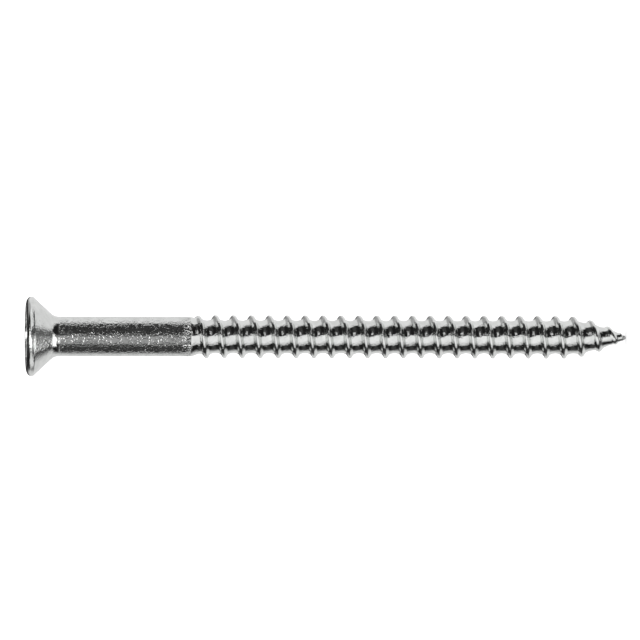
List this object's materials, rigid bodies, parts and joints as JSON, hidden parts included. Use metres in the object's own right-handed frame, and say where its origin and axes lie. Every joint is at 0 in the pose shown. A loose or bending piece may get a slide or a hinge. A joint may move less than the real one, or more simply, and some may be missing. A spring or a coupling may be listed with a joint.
{
  "type": "wood screw",
  "caption": "Countersunk steel wood screw with a cross recess, a plain shank, a coarse right-hand thread and a gimlet point.",
  "frame": {"origin": "middle of the head's flat face, on the screw's axis", "axes": "+Z along the axis, out of the head's flat face; the point is towards -Z. +X passes through the first full crest of the thread"},
  "size_m": [0.0092, 0.0092, 0.07],
  "materials": {
    "plated_steel": "bright plating, slightly grainy",
    "rolled_thread": "bright plating, smooth and shiny from thread rolling"
  },
  "bodies": {
    "root": {"head": "plated_steel", "shank": "plated_steel", "thread": "rolled_thread", "point": "rolled_thread"}
  },
  "joints": []
}
